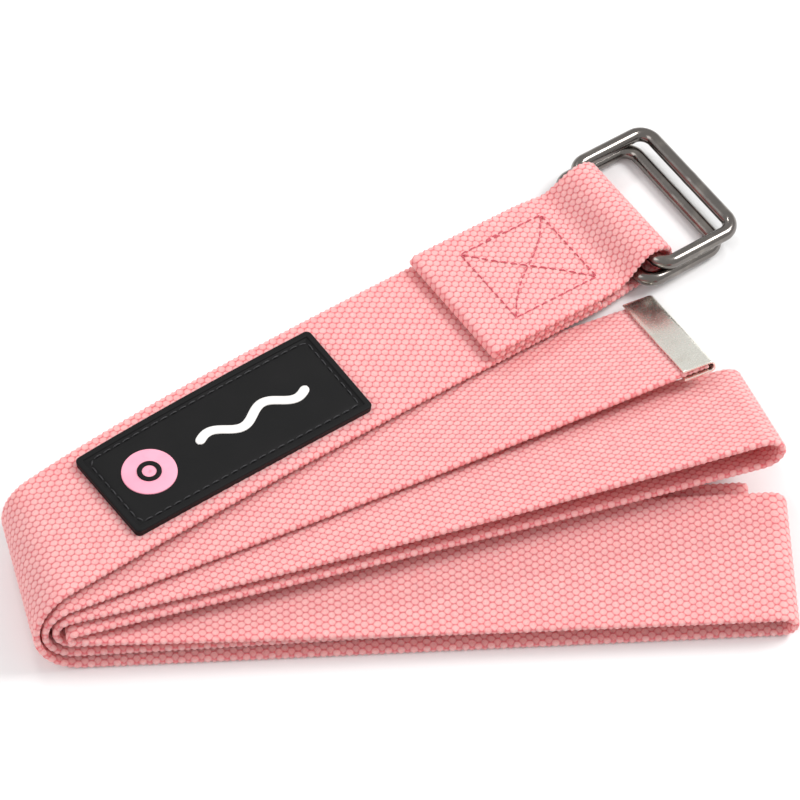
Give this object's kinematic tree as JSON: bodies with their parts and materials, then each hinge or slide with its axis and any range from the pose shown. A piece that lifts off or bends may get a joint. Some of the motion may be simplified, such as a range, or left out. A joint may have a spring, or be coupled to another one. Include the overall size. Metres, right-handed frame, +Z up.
{
  "type": "stretching strap",
  "caption": "Long cotton webbing stretching strap folded flat as a fan, with a pair of wire rings sewn into one end, a folded metal tip on the other and a moulded rubber label.",
  "frame": {"origin": "centre of the outline seen from above, on the surface that the folded strap lies on", "axes": "+X along the top run of webbing, towards the rings; +Z up; +Y across the top run, away from the fanned runs"},
  "size_m": [0.2288, 0.1492, 0.0271],
  "materials": {
    "webbing": "matt cotton webbing with raised oval nubs",
    "ring_wire": "polished black nickel",
    "tip_sheet": "polished nickel",
    "label_rubber": "matt moulded",
    "label_disc": "satin moulded",
    "label_mark": "satin moulded",
    "label_thread": "black sewing thread",
    "hem_thread": "dark rose sewing thread"
  },
  "bodies": {
    "strap": {"webbing_strap": "webbing", "end_tip": "tip_sheet", "label_base": "label_rubber", "label_disc": "label_disc", "label_dot": "label_rubber", "label_wave": "label_mark", "label_stitching": "label_thread", "hem_stitching": "hem_thread"},
    "upper_ring": {"ring_upper": "ring_wire"},
    "lower_ring": {"ring_lower": "ring_wire"}
  },
  "joints": [
    {"name": "upper_ring_swing", "type": "hinge", "parent": "strap", "child": "upper_ring", "pos_m": [0.08714, 0.05241, 0.00883], "axis": [0, -1, 0], "range_deg": [0, 170]},
    {"name": "lower_ring_swing", "type": "hinge", "parent": "strap", "child": "lower_ring", "pos_m": [0.08204, 0.05241, 0.00513], "axis": [0, -1, 0], "range_deg": [-40, 0]}
  ]
}
